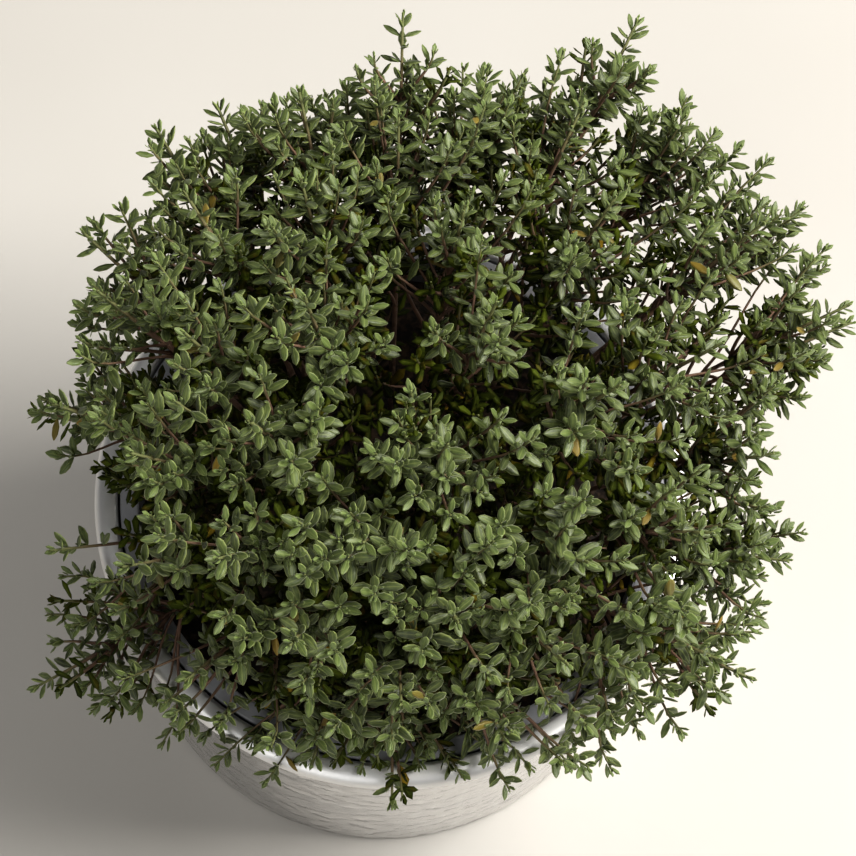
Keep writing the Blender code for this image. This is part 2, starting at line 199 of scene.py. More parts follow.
# Places where the rim, the ground or a hollow shows between the leaves from the camera, in millimetres on
# the rim's plane: x, y, radius, and the share of the leaves left out
BARE_PLACES = (
    *((-70, 33, 7.5, 0.95), (-78, 3, 5.5, 0.85), (-73, -25, 7.5, 0.8), (-65, -43, 5, 0.9)),
    *((-53, -54, 6, 0.95), (-43, -62, 7, 0.95), (-30, -67, 6, 0.7), (-13, -76, 6, 0.7)),
    *((20, -75, 6, 0.7), (42, -61, 4.5, 0.4), (67, -21, 5, 0.75), (66, 35, 4, 0.6)),
    *((54, 53, 4.5, 0.75), (68, 62, 4, 0.6), (56, 76, 4, 0.7), (81, 47, 7.5, 0.9)),
    *((90, 56, 6, 0.95), (98, 67, 4, 0.8), (104, 22, 8, 0.85), (117, 30, 12, 1)),
    *((126, 48, 10, 1), (-105, 31, 10, 1), (-98, 66, 8, 1), (-59, 91, 4.5, 0.85), (2, 56, 9, 0.7)),
)

# Twigs that stand out at the edge: azimuth in degrees, reach and rise over the rim in millimetres
EDGE_SPRAYS = (
    *((71, 94, 86), (82, 82, 88), (104, 82, 84), (115, 80, 80), (124, 84, 76), (150, 82, 60)),
    *((161, 77, 52), (168, 79, 44), (182, 82, 32), (212, 92, 10), (208, 97, 8), (224, 99, 4)),
    *((235, 92, 2), (244, 88, 2), (253, 86, 2), (263, 80, 4), (288, 80, 3), (300, 84, 5)),
    *((311, 95, 8), (322, 100, 14), (339, 102, 26), (346, 98, 32), (352, 97, 36), (15, 108, 54)),
    *((26, 114, 62), (33, 113, 70), (40, 111, 74), (47, 103, 78), (53, 104, 80), (59, 102, 84)),
)
# What grows with each of them and makes it bushy: sideways, over and back from its tip
COMPANIONS = np.array(((8, 1, 7), (-7, 2, 8), (2, -6, 12))) * MM

# A stem, a side shoot and a twig: radius at the foot and at the tip, how far down its leaves go (the stem's
# in metres, the others' as a share of the length), and how young the bark is at the foot, from 0 to 1
STEM_RADII, STEM_LEAFY, STEM_YOUTH = (1.1 * MM, 0.4 * MM), 52 * MM, 0.0
SHOOT_RADII, SHOOT_LEAFY, SHOOT_YOUTH = (0.6 * MM, 0.35 * MM), 0.85, 0.45
TWIG_RADII, TWIG_LEAFY, TWIG_YOUTH = (0.55 * MM, 0.27 * MM), 0.8, 0.4
TWIG_SIDES = 4
TWIG_RINGS = 7
CURVE_STEPS = 30

# Leaf pairs: distance back from a twig's tip, leaf length, and its lean from the twig in degrees
NODE_BACK = np.array((0.7, 1.8, 3.4, 5.6, 8.4, 11.8, 15.8, 20.4, 25.4, 31, 37, 43, 49.5)) * MM
NODE_LENGTH = np.array((2.0, 3.3, 4.7, 5.6, 6.1, 6.3, 6.3, 6.1, 5.9, 5.6, 5.3, 5.0, 4.8)) * MM
NODE_LEAN = np.radians((22, 32, 45, 55, 62, 68, 72, 75, 78, 80, 84, 88, 92))

# How far from the tip leaves are buds, and none is left out, how much a leaf's face turns to the sky, how far
# off the twig's middle it starts, and how much of a twig may have leaves
TIP_BUDS = 2.72 * MM
TIP_LEAVES = 9 * MM
LEAF_TO_SKY = 0.45
LEAF_STALK = 0.3 * MM
LEAFY_MOST = 0.92

# What chance does: it draws the pairs of a twig further apart, makes all its leaves and each of them longer,
# times these, and turns a pair, leans a leaf and tilts its face off the rule by so much
PAIR_SPACING, TWIG_LENGTHS, LEAF_LENGTHS = (0.9, 1.12), (0.84, 1.08), (0.86, 1.1)
TURN_WANDER, LEAN_WANDER, FACE_WANDER = 0.2, 0.15, 0.14

# A leaf's outline and, as shares of its half width, the swell of its blade, the roll of its edge, the groove
# of its midrib and the depth of its underside
LEAF_OUTLINE = (1.12, 0.75)
LEAF_SWELL, LEAF_ROLL, LEAF_GROOVE, LEAF_UNDER = 0.26, 0.32, 0.06, 0.42
LEAF_STATIONS = (0.1, 0.42, 0.74, 0.93)
LEAF_ACROSS = (-1, -0.5, 0, 0.5, 1)
BUD_STATIONS = (0.2, 0.72)
BUD_ACROSS = (-1, 0, 1)

# Distances from a twig's tip between which its leaves age, over which their fresh green fades, and past
# which they may have yellowed, are small again, and have small leaves in their axils
AGE_SPAN = (6 * MM, 30 * MM)
YOUTH_FADE = 4 * MM
YELLOW_FROM = 8 * MM
SMALL_FROM = 21 * MM
AXIL_FROM = 4.5 * MM

# A leaf's tone, from dark to full colour: a draw for its twig, less parts for its age and shade, and chance.
# The shade part is painted shade; the age part is partly the real darkening of old leaves, partly painted
# shade.
# Then the draws for its youth, its width and how yellow it is, and how many times more are so in the shade.
TWIG_TONES, TONE_AGED, TONE_SHADED, TONE_WANDER = (0.45, 0.95), 0.45, 0.35, 0.16
LEAF_YOUTHS, LEAF_WIDTHS, YELLOWNESS, YELLOW_SHADED = (0.75, 1.1), (0.88, 1.12), (0.3, 1), 2

# How far a leaf bends back, as a share of its length, and its halves fold up: grown, what youth adds, chance
ARCH, ARCH_YOUNG, ARCH_WANDER = 0.14, -0.3, 0.06
FOLD, FOLD_YOUNG, FOLD_WANDER, FOLD_RANGE = 0.1, 0.5, 0.12, (-0.1, 0.9)

# Leaves in the axils: the share of axils that have them, length, what their lean takes from the twig, from
# the big leaf's side and from chance, the chance in their face, and how they look
AXIL_SHARE, OLD_AXIL_SHARE = 0.8, 0.45
AXIL_LENGTH = (2 * MM, 4 * MM)
AXIL_LEAN, AXIL_FACE_WANDER = (0.8, 0.7, 0.36), 0.3
AXIL_WIDTH, AXIL_ARCH, AXIL_FOLD, AXIL_TONE, AXIL_YOUTH = 1.05, 0.03, 0.3, 0.1, 0.35

# How wide the blotches of each pattern are. The felt of a leaf, the satin grain of the metal and the grain
# of the mould are finer than a pixel in truth, so they are drawn as coarse as shows.
LEAF_MOTTLE = 1.4286 * MM
LEAF_FELT = 0.28571 * MM
LEAF_BLOTCH = 3.8462 * MM
BARK_FLAKE = 0.83333 * MM
METAL_GRAIN = 1.1111 * MM
METAL_CLOUD = 16.667 * MM
METAL_MARK = 5 * MM
LINER_GRAIN = 0.66667 * MM
LINER_DUST = 7.1429 * MM
SOIL_CRUMB = 2.2222 * MM
FLOOR_CLOUD = 125 * MM
NOISE = "ShaderNodeTexNoise"
SMOOTH = {"interpolation_type": "SMOOTHSTEP"}

# The camera, fitted to the rim, and the stage
CAMERA_ELEVATION = math.radians(71.138)
CAMERA_DISTANCE = 640 * MM
CAMERA_ROLL = math.radians(-5.764)
FOCAL_PIXELS = 2391.85
SENSOR_WIDTH = 36.0
PHOTO_SIZE = 856
RIM_CENTRE_PIXEL = (394.27, 491.02)
HORIZON_TIMES = 5
FLOOR_REACH = 2.2
FLOOR_CORNERS = 128
BAKE_MARGIN = 0.04

# Lights: name, place and size in metres, share of the key light's power, and colour
LIGHTS = (
    ("key light", (0.75, 0.2, 1.15), 0.65, 1.0, (1.0, 0.98, 0.94)),
    ("light behind", (0.1, 0.45, 1.35), 1.0, 0.12, (1.0, 1.0, 1.0)),
    ("fill light", (-0.5, -1.0, 0.9), 1.2, 0.26, (1.0, 0.99, 0.97)),
)


def unit(vectors):
    """Vectors of length one, along the last axis."""
    return vectors / np.linalg.norm(vectors, axis=-1, keepdims=True)


def square_to(vectors, axes):
    """Vectors less their part along the unit axes, at length one."""
    return unit(vectors - axes * (vectors * axes).sum(-1, keepdims=True))


def around(reach, azimuth, height):
    """Points at these distances from the pot's axis, azimuths and heights."""
    return np.stack([reach * np.cos(azimuth), reach * np.sin(azimuth), height + 0 * azimuth], axis=-1)


def turned_about(vector, axis, angle):
    """The vector turned about a unit axis."""
    along = axis * (vector @ axis)
    return along + (vector - along) * math.cos(angle) + np.cross(axis, vector) * math.sin(angle)


# Surfaces


def between_rings(rows, columns, steps, first, span):
    """Quads for a number of steps from a ring of points to the next, and their corners' places in a unit
    square, along the rings and round them, which closes at 1 and not at 0."""
    row, column = (part.ravel() for part in np.indices((steps, columns)))
    corners = [(row, column), (row, column + 1), (row + 1, column + 1), (row + 1, column)]
    quads = np.stack([down % rows * columns + along % columns for down, along in corners], axis=1)
    places = [part for down, along in corners for part in ((down + first) / span, along / columns)]
    return quads, np.stack(places, axis=1).reshape(-1, 2)


def closed_grid(rows, columns):
    """Quads and end triangles of a closed skin, and their corners' places in a unit square. Its points are
    numbered ring by ring, then come the poles beyond the first ring and the last."""
    quads, quad_places = between_rings(rows, columns, rows - 1, 1, rows + 1)
    ring = np.arange(columns)
    after = (ring + 1) % columns
    pole = np.full(columns, rows * columns)
    last = (rows - 1) * columns
    caps = np.array([[pole, after, ring], [last + ring, last + after, pole + 1]])
    left, right = ring / columns, (ring + 1) / columns
    middle, zero = (left + right) / 2, 0 * left
    near, far = zero + 1 / (rows + 1), zero + rows / (rows + 1)
    places = np.array([[zero, middle, near, right, near, left], [far, left, far, right, zero + 1, middle]])
    caps, places = caps.transpose(0, 2, 1), places.transpose(0, 2, 1)
    return quads, caps.reshape(-1, 3), quad_places, places.reshape(-1, 2)


def make_mesh(name, points, faces, places):
    """A smooth mesh from arrays of faces, and its bake map from arrays of their corners' places."""
    corners, flat = (np.concatenate([part.ravel() for part in parts]) for parts in (faces, places))
    totals = np.repeat([part.shape[1] for part in faces], [len(part) for part in faces])
    mesh = bpy.data.meshes.new(name)
    mesh.vertices.add(points.size // 3)
    mesh.vertices.foreach_set("co", points.astype(np.float32).ravel())
    mesh.loops.add(len(corners))
    mesh.loops.foreach_set("vertex_index", corners.astype(np.int32))
    mesh.polygons.add(len(totals))
    mesh.polygons.foreach_set("loop_start", (np.cumsum(totals) - totals).astype(np.int32))
    mesh.update(calc_edges=True)
    mesh.uv_layers.new(name="OFBake").uv.foreach_set("vector", flat.astype(np.float32))
    mesh.shade_smooth()
    return mesh


def add_skins(name, points, rows, columns, material, slot, values=None, cells=None):
    """A piece made of closed skins of the same grid: points is (skins, points of one, 3).

    Each skin gets its own cell of the map that a texture would be baked on. Values are named attributes
    with three numbers a point.
    """
    count, size = points.shape[:2]
    *faces, quad_places, cap_places = closed_grid(rows, columns)
    first = (np.arange(count) * size)[:, None, None]
    faces = [(part + first).reshape(-1, part.shape[1]) for part in faces]
    wide, high = cells or (math.ceil(math.sqrt(count)),) * 2
    cell = np.stack([np.arange(count) % wide, np.arange(count) // wide], axis=1)[:, None]
    margin = BAKE_MARGIN if count > 1 else 0.0
    places = [
        (cell + margin + (1 - 2 * margin) * part) / (wide, high) for part in (quad_places, cap_places)
    ]
    mesh = make_mesh(name, points, faces, places)
    for label, numbers in (values or {}).items():
        attribute = mesh.attributes.new(label, "FLOAT_VECTOR", "POINT")
        attribute.data.foreach_set("vector", numbers.astype(np.float32).ravel())
    return add_piece(name, mesh, material)


def add_ring(name, rings, material):
    """A piece from rings that close on themselves, last to first, so that it has no poles."""
    rows, columns = rings.shape[:2]
    quads, places = between_rings(rows, columns, rows, 0, rows)
    return add_piece(name, make_mesh(name, rings, [quads], [places]), material)


def add_piece(name, mesh, material):
    """A piece with this mesh and material, under the root body."""
    mesh.materials.append(material)
    piece = add_object(name, mesh)
    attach(piece, "root")
    return piece


def add_object(name, data):
    """An object with this mesh, camera or light, in the scene."""
    made = bpy.data.objects.new(name, data)
    bpy.context.scene.collection.objects.link(made)
    return made


def arc(centre, radius, start, end, count):
    """Points of an arc in the (radius, height) plane: centre plus radius times cosine and sine of degrees."""
    angles = np.radians(np.linspace(start, end, count))
    return np.array(centre) + radius * np.stack([np.cos(angles), np.sin(angles)], axis=1)


def line(start, end, count):
    """Evenly spaced points between two points of the (radius, height) plane, both ends left out."""
    share = np.linspace(0, 1, count + 2)[1:-1, None]
    return np.array(start) * (1 - share) + np.array(end) * share


def turned(profile, sides):
    """The rings of a profile of (radius, height) points carried round Z."""
    return around(profile[:, :1], np.arange(sides) * 2 * math.pi / sides, profile[:, 1:])


def with_poles(rings, low, high):
    """One skin's points: its rings, then the poles below and above them."""
    return np.concatenate([rings.reshape(-1, 3), [low], [high]])[None]


def nearest_centre(across, up, columns, seed):
    """The distance from each point to the nearest of a field of scattered centres, one in each cell of a
    grid, in cells. Across closes on itself after the given number of columns."""
    draw = np.random.default_rng(seed)
    column, row = np.floor(across).astype(int), np.floor(up).astype(int)
    lowest = row.min() - 1
    scatter = draw.uniform(0.1, 0.9, (row.max() - lowest + 2, columns, 2))
    nearest = np.full(across.shape, np.inf)
    for column_step in (-1, 0, 1):
        for row_step in (-1, 0, 1):
            there, level = column + column_step, row + row_step
            place = scatter[level - lowest, there % columns]
            apart = np.hypot(there + place[..., 0] - across, level + place[..., 1] - up)
            nearest = np.minimum(nearest, apart)
    return nearest


def smooth_step(value, low, high):
    """0 below low, 1 above high, and a smooth rise between."""
    share = np.clip((value - low) / (high - low), 0, 1)
    return share * share * (3 - 2 * share)


# Materials


def linear(hexadecimal):
    """An sRGB hex colour as linear red, green, blue and alpha."""
    parts = [int(hexadecimal[k : k + 2], 16) / 255 for k in (1, 3, 5)]
    return (*[p / 12.92 if p <= 0.04045 else ((p + 0.055) / 1.055) ** 2.4 for p in parts], 1.0)


def add_node(tree, kind, inputs=None, output=0, **settings):
    """Adds a node with its settings and gives an output of it. An input is joined where its value is a
    socket, and set otherwise."""
    made = tree.nodes.new(kind)
    for name, value in settings.items():
        setattr(made, name, value)
    for name, value in (inputs or {}).items():
        if isinstance(value, bpy.types.NodeSocket):
            tree.links.new(value, made.inputs[name])
        else:
            made.inputs[name].default_value = value
    return made.outputs[output]


def new_material(name, constants, *patterns):
    """A material, its tree, its shader, whose constants are set, the place on the piece, and a noise for each
    pattern, which is the width of its blotches and its detail."""
    material = bpy.data.materials.new(name)
    material.use_nodes = True
    tree = material.node_tree
    shader = tree.nodes["Principled BSDF"]
    for socket, value in constants.items():
        shader.inputs[socket].default_value = value
    where = add_node(tree, "ShaderNodeTexCoord", output="Object")
    scales = [{"Vector": where, "Scale": 1 / width, "Detail": detail} for width, detail in patterns]
    return material, tree, shader, where, *[add_node(tree, NOISE, inputs) for inputs in scales]


def parts_of(tree, name):
    """The three numbers of a named attribute."""
    vector = add_node(tree, "ShaderNodeAttribute", output="Vector", attribute_name=name)
    return add_node(tree, "ShaderNodeSeparateXYZ", {0: vector}, slice(None))


def painted(tree, colour, *coats):
    """The colour with coats laid over it in turn. A coat is its colour and its mask, and may go on with the
    two values of the mask between which its share goes smoothly from a third number to a fourth."""
    for coat, share, *span in coats:
        if span:
            span = dict(enumerate((share, *span)))
            share = add_node(tree, "ShaderNodeMapRange", span, **SMOOTH)
        inputs = {0: share, 6: linear(colour) if isinstance(colour, str) else colour, 7: linear(coat)}
        colour = add_node(tree, "ShaderNodeMix", inputs, 2, data_type="RGBA")
    return colour


def dress(tree, shader, colour, relief, strength, depth):
    """Joins the colour to the shader, and the relief as bumps of this strength and depth."""
    tree.links.new(colour, shader.inputs["Base Color"])
    inputs = {"Strength": strength, "Distance": depth, "Height": relief}
    tree.links.new(add_node(tree, "ShaderNodeBump", inputs), shader.inputs["Normal"])


def thyme_leaf_material(settings):
    # A small evergreen herb leaf: grey-green and felted above, paler below, with a sunk midrib, a rolled edge
    # lightened by a painted highlight, and tips that are fresher green. Here and there a leaf has yellowed.
    constants = {"IOR": 1.5, "Sheen Weight": 0.1, "Sheen Roughness": 0.5}
    patterns = (LEAF_MOTTLE, 3.0), (LEAF_FELT, 2.0)
    material, tree, shader, _, mottle, felt = new_material("thyme leaf", constants, *patterns)
    _, across, under = parts_of(tree, "leaf_place")
    tone, youth, yellow = parts_of(tree, "leaf_kind")
    colour = painted(
        tree,
        settings.dark_colour,
        (settings.leaf_colour, tone),
        (settings.young_colour, youth),
        ("#67723C", mottle, 0.35, 0.7, 0.0, 0.4),
        # The next coat is a painted highlight along the rolled edge of the leaf.
        ("#98A162", across, 0.7, 1.0, 0.0, 0.65),
        ("#7E884E", across, 0.0, 0.22, 0.4, 0.0),
        ("#525D2A", under, 0.2, 0.8, 0.0, 1.0),
        (settings.yellow_colour, yellow),
    )
    rough = add_node(tree, "ShaderNodeMapRange", {0: felt, 1: 0.3, 2: 0.7, 3: 0.44, 4: 0.6}, **SMOOTH)
    tree.links.new(rough, shader.inputs["Roughness"])
    dress(tree, shader, colour, felt, 0.35, 0.05 * MM)
    return material


def old_leaf_painted_shade_material(settings):
    # The old leaves on the shaded lower twigs: matt, darker and more olive, with brown blotches and only a
    # faint rib. Part of this is their age, as their felt has worn off, and part is painted shade: this is the
    # leaf's copy for the shade deep in the bush.
    constants = {"Roughness": 0.75, "IOR": 1.5, "Specular IOR Level": 0.12}
    material, tree, shader, _, blotch = new_material("old thyme leaf in painted shade", constants, (LEAF_BLOTCH, 3.0))
    _, across, _ = parts_of(tree, "leaf_place")
    tone, _, yellow = parts_of(tree, "leaf_kind")
    colour = painted(
        tree,
        settings.dark_colour,
        (settings.old_leaf_painted_shade_colour, tone),
        ("#5A4A1A", blotch, 0.52, 0.72, 0.0, 0.55),
        ("#6E7536", across, 0.0, 0.22, 0.2, 0.0),
        (settings.yellow_colour, yellow),
    )
    tree.links.new(colour, shader.inputs["Base Color"])
    return material


def thyme_bark_material(settings):
    # A thin woody stem: grey-brown flaking bark at its foot, purple-brown and smooth further up, and greenish
    # close to its tip. The flakes are three times as tall as wide.
    material, tree, shader, where = new_material("thyme bark", {"Roughness": 0.7})
    youth = parts_of(tree, "twig_place")[0]
    tall = add_node(tree, "ShaderNodeMapping", {"Vector": where, "Scale": (1.0, 1.0, 0.3)})
    flakes = add_node(tree, NOISE, {"Vector": tall, "Scale": 1 / BARK_FLAKE, "Detail": 4.0})
    colour = painted(
        tree,
        "#4A382C",
        ("#7C6856", flakes, 0.35, 0.65, 0.0, 1.0),
        (settings.bark_colour, youth, 0.15, 0.5, 0.0, 1.0),
        ("#5C6138", youth, 0.72, 1.0, 0.0, 1.0),
    )
    dress(tree, shader, colour, flakes, 0.6, 0.15 * MM)
    return material


def pot_material(settings):
    # Spun and hammered aluminium: bright grey metal with a fine satin grain, darker in the middle of each
    # dent by painted shade that stands in for the dents' darker reflections. The hammered wall shines more
    # than the rolled rim. The dents are in the mesh, and a bump on the wall alone adds softer marks between
    # them.
    patterns = (METAL_GRAIN, 4.0), (METAL_CLOUD, 3.0), (METAL_MARK, 0.0)
    material, tree, shader, where, *noises = new_material("hammered aluminium", {"Metallic": 1.0}, *patterns)
    grain, cloud, marks = noises
    height = add_node(tree, "ShaderNodeSeparateXYZ", {0: where}, 2)
    dents = add_node(tree, "ShaderNodeAttribute", output="Fac", attribute_name="dent_place")
    colour = painted(
        tree,
        settings.metal_colour,
        ("#E2E1E0", cloud, 0.3, 0.7, 0.0, 1.0),
        # Painted shade: darker in the middle of each dent, for the darker reflections of the dents.
        ("#9C9A98", dents, 0.2, 1.0, 0.0, 0.25),
    )
    edge = POT_HEIGHT - RIM_DEPTH
    to_rim = {0: height, 1: edge - 2 * MM, 2: edge}
    rough = add_node(tree, "ShaderNodeMapRange", {**to_rim, 3: 0.22, 4: 0.5}, **SMOOTH)
    fine = add_node(tree, "ShaderNodeMapRange", {0: grain, 1: 0.3, 2: 0.7, 3: -0.03, 4: 0.03}, **SMOOTH)
    rough = add_node(tree, "ShaderNodeMath", {0: fine, 1: rough}, operation="ADD")
    tree.links.new(rough, shader.inputs["Roughness"])
    wall = add_node(tree, "ShaderNodeMapRange", {**to_rim, 3: 1.0, 4: 0.0}, **SMOOTH)
    marks = add_node(tree, "ShaderNodeMath", {0: marks, 1: wall}, operation="MULTIPLY")
    dress(tree, shader, colour, marks, 1.0, 0.5 * MM)
    return material


def liner_material(settings):
    # Moulded grey polypropylene, satin, with the faint grain of the mould and a dusting of dried soil.
    constants, patterns = {"Roughness": 0.42, "IOR": 1.49}, ((LINER_GRAIN, 2.0), (LINER_DUST, 5.0))
    material, tree, shader, _, grain, dust = new_material("grey polypropylene", constants, *patterns)
    colour = painted(tree, settings.liner_colour, ("#8F8A84", dust, 0.5, 0.75, 0.0, 0.35))
    dress(tree, shader, colour, grain, 0.2, 0.05 * MM)
    return material


def soil_material(settings):
    # Damp peat potting soil: nearly black crumbs with paler brown fibres, and no gloss.
    constants = {"Roughness": 0.9}
    material, tree, shader, _, crumbs = new_material("potting soil", constants, (SOIL_CRUMB, 6.0))
    colour = painted(tree, settings.soil_colour, ("#4D3C2D", crumbs, 0.42, 0.68, 0.0, 1.0))
    dress(tree, shader, colour, crumbs, 0.8, 0.5 * MM)
    return material


# Pot, liner and soil


def pot_rings(dent_size, dent_depth):
    """The pot as a profile carried round Z: floor, curved foot, flared wall, rolled rim, and back inside.

    On the outer wall the radius is less by the depth of the dents, each a shallow bowl: depth times one
    minus the squared distance from its centre, so that ridges stand where two bowls meet.
    """
    floor_rows, foot_rows = 5, 6
    roll = RIM_DEPTH / 2
    wall_foot = (BASE_RADIUS, FOOT_CURVE)
    wall_top = (WALL_TOP_RADIUS, POT_HEIGHT - RIM_DEPTH)
    curve = FOOT_CURVE - POT_WALL
    inner_foot = BASE_RADIUS - POT_WALL
    profile = np.concatenate(
        [
            line((0, 0), (BASE_RADIUS - FOOT_CURVE, 0), floor_rows),
            arc((BASE_RADIUS - FOOT_CURVE, FOOT_CURVE), FOOT_CURVE, -90, 0, foot_rows),
            line(wall_foot, wall_top, POT_WALL_ROWS),
            [wall_top],
            arc((RIM_RADIUS - roll, POT_HEIGHT - roll), roll, -60, 90, 13),
            line((RIM_RADIUS - roll, POT_HEIGHT), (RIM_INNER_RADIUS + RIM_EDGE, POT_HEIGHT), 1),
            arc((RIM_INNER_RADIUS + RIM_EDGE, POT_HEIGHT - RIM_EDGE), RIM_EDGE, 90, 180, 5),
            [(RIM_INNER_RADIUS, POT_HEIGHT - RIM_DEPTH)],
            arc((inner_foot - curve, POT_WALL + curve), curve, 0, -90, 4),
            line((inner_foot - curve, POT_WALL), (0, POT_WALL), 4),
        ]
    )
    rings = turned(profile, POT_SIDES)
    outer = np.arange(len(profile)) < floor_rows + foot_rows + POT_WALL_ROWS
    height = profile[:, 1:]
    azimuth = np.arange(POT_SIDES) / POT_SIDES
    columns = round(2 * math.pi * WALL_TOP_RADIUS / dent_size)
    bowls = nearest_centre(azimuth * columns + 0 * height, height / dent_size + 0 * azimuth, columns, 3)
    fade = smooth_step(height, DENT_FOOT, DENT_FADE)
    fade = fade * smooth_step(POT_HEIGHT - RIM_DEPTH - height, 0, DENT_FADE) * outer[:, None]
    dents = dent_depth * np.clip(1 - bowls**2, 0, 1) * fade
    flat = rings[..., :2]
    rings[..., :2] = flat * (1 - dents / np.maximum(profile[:, :1], MM))[..., None]
    return rings, dents / dent_depth


def lip_rings():
    """The liner's lip: a flat ring with rounded edges, a closed profile carried round Z."""
    top = POT_HEIGHT - LIP_DROP + LIP_ABOVE
    low = top - LIP_DEPTH
    outer, inner, curve = LIP_OUTER_RADIUS, LIP_INNER_RADIUS, LIP_CURVE
    profile = np.concatenate(
        [
            arc((inner + curve, low + curve), curve, 180, 270, 4),
            arc((outer - curve, low + curve), curve, -90, 0, 4),
            arc((outer - curve, top - curve), curve, 0, 90, 5),
            line((outer - curve, top), (inner + curve, top), 2),
            arc((inner + curve, top - curve), curve, 90, 180, 5),
        ]
    )
    return turned(profile, LIP_SIDES)


def soil_rings():
    """The soil as a profile carried round Z, its top raised by crumbs, each a small dome."""
    share = np.linspace(1, 0, SOIL_TOP_ROWS + 1)[:-1]
    high = POT_HEIGHT - SOIL_DROP + SOIL_MOUND * (1 - share**2)
    top = np.stack([SOIL_RADIUS * share, high], axis=1)
    profile = np.concatenate(
        [
            line((0, SOIL_LOW), (SOIL_FOOT_RADIUS, SOIL_LOW), 2),
            [(SOIL_FOOT_RADIUS, SOIL_LOW)],
            line((SOIL_FOOT_RADIUS, SOIL_LOW), (SOIL_RADIUS, high[0]), 3),
            top,
        ]
    )
    rings = turned(profile, SOIL_SIDES)
    inside = smooth_step(SOIL_RADIUS - profile[:, :1], 0, CRUMB_FADE) * (profile[:, 1:] > SOIL_TOP_FROM)
    for seed, (size, rise) in enumerate(CRUMB_SIZES):
        place = rings[..., :2] / size + CRUMB_SHIFT
        domes = nearest_centre(place[..., 0], place[..., 1], CRUMB_CELLS, 11 + seed)
        rings[..., 2] += rise * (np.clip(1 - domes**2, 0, 1) - CRUMB_SINK) * inside
    return rings


# Thyme


def compass(values, azimuth):
    """A smooth value between those given for evenly spaced azimuths, in metres."""
    place = (azimuth / (2 * math.pi) * len(values)) % len(values)
    first = np.floor(place).astype(int)
    share = smooth_step(place - first, 0, 1)
    return (values[first] * (1 - share) + values[(first + 1) % len(values)] * share) * MM


def canopy(azimuth, fall):
    """Points of the canopy: the reach is the compass reach times a power of the sine of the fall from the
    crown, and the rise goes from the skirt to the crown as a power of its cosine."""
    reach = compass(COMPASS_REACH, azimuth) * np.sin(fall) ** REACH_POWER
    skirt = compass(COMPASS_RISE, azimuth)
    rise = skirt + (CROWN_RISE - skirt) * np.cos(fall) ** RISE_POWER
    return around(reach, azimuth, POT_HEIGHT + rise)


def over_canopy(count):
    """A sunflower spiral of this many points over the canopy: azimuth and fall."""
    share = (np.arange(count) + 0.5) / count
    fall = np.arcsin(np.sqrt((1 + FLANK_SHARE) * share - FLANK_SHARE * share**2))
    return FIRST_AZIMUTH + np.arange(count) * GOLDEN_ANGLE, fall


def stem_tips():
    """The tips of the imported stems: the ruled ones, each wandering a little, then the stray sprays."""
    draw = np.random.default_rng(7)
    ruled = canopy(*over_canopy(RULED_STEMS))
    ruled += draw.uniform(-1, 1, (RULED_STEMS, 3)) * TIP_WANDER
    return np.concatenate([ruled, spray_tips(list(STRAY_SPRAYS.values()))])


def spray_tips(rows):
    """Points from rows of azimuth in degrees, and reach and rise over the rim in millimetres."""
    degrees, reach, rise = np.array(rows, float).T
    return around(reach * MM, np.radians(degrees), rise * MM + POT_HEIGHT)


def bezier(controls, share):
    """Points of a cubic curve of four control points."""
    t = np.asarray(share)[:, None]
    a, b, c, d = controls
    return a * (1 - t) ** 3 + 3 * b * t * (1 - t) ** 2 + 3 * c * t**2 * (1 - t) + d * t**3


def bezier_slope(controls, share):
    """The unit direction of the same curve."""
    t = np.asarray(share)[:, None]
    a, b, c, d = controls
    return unit((b - a) * (1 - t) ** 2 + 2 * (c - b) * t * (1 - t) + (d - c) * t**2)


def measured(controls):
    """Even shares of the curve's parameter, and how far along the curve each of them is."""
    share = np.linspace(0, 1, CURVE_STEPS)
    steps = np.linalg.norm(np.diff(bezier(controls, share), axis=0), axis=1)
    return share, np.concatenate([[0], np.cumsum(steps)])


def stem_controls(tip):
    """A stem goes upright from the soil, swings outwards and ends rising to its tip."""
    x, y = tip[:2] * ROOT_SHARE
    height = POT_HEIGHT - SOIL_DROP + SOIL_MOUND * (1 - (math.hypot(x, y) / SOIL_RADIUS) ** 2)
    root = np.array([x, y, height])
    run = (tip - root) * (1, 1, 0)
    rise = tip[2] - root[2]
    lower = root + UP * max(LIFT_SHARE * rise, LEAST_LIFT) + EARLY_RUN * run
    upper = tip - LATE_RUN * run - UP * LATE_LIFT * rise
    return np.array([root, lower, upper, tip])


def side_shoot_controls(stem, share, length, quarter, side):
    """A packed side shoot: it leaves the stem at an angle and turns up towards the light."""
    first = int(share * CAD_STEPS)
    marks = bezier(stem, np.array([first, first + 1]) / CAD_STEPS)
    tangent = unit(marks[1] - marks[0])
    start = marks[0] + (marks[1] - marks[0]) * (share * CAD_STEPS - first)
    flat = square_to(side, tangent)
    outward = turned_about(flat, tangent, math.pi / 2 * quarter)
    leaving = tangent * math.cos(SHOOT_SPREAD) + outward * math.sin(SHOOT_SPREAD)
    middle = start + leaving * length * 0.5
    end = middle + unit(leaving + tangent + SHOOT_RISE * UP) * length * 0.5
    ease = SHOOT_EASE
    return np.array([start, start + (middle - start) * ease, end - (end - middle) * ease, end])


def twig_controls(stem, goal, drift, rising, most):
    """A twig that leaves the stem some way below its tip, reaches for its goal and ends rising or level."""
    share, run = measured(stem)
    times, more, least = TWIG_BACK
    back = min(max(times * np.linalg.norm(goal - stem[3]) + more, least), most * run[-1])
    at = np.interp(run[-1] - back, run, share)
    start = bezier(stem, [at])[0]
    tangent = bezier_slope(stem, [at])[0]
    reach = goal - start
    length = np.linalg.norm(reach)
    outward = unit(goal - (0, 0, POT_HEIGHT))
    leaving = unit(tangent * TWIG_LEAVING + reach / length)
    stem_part, own_part, out_part = TWIG_ENDING
    ending = tangent * stem_part + reach / length * own_part + outward * out_part + UP * rising + drift
    ending = unit(ending)
    early, late = length * TWIG_EASE[0], length * TWIG_EASE[1]
    return np.array([start, start + leaving * early, goal - ending * late, goal])


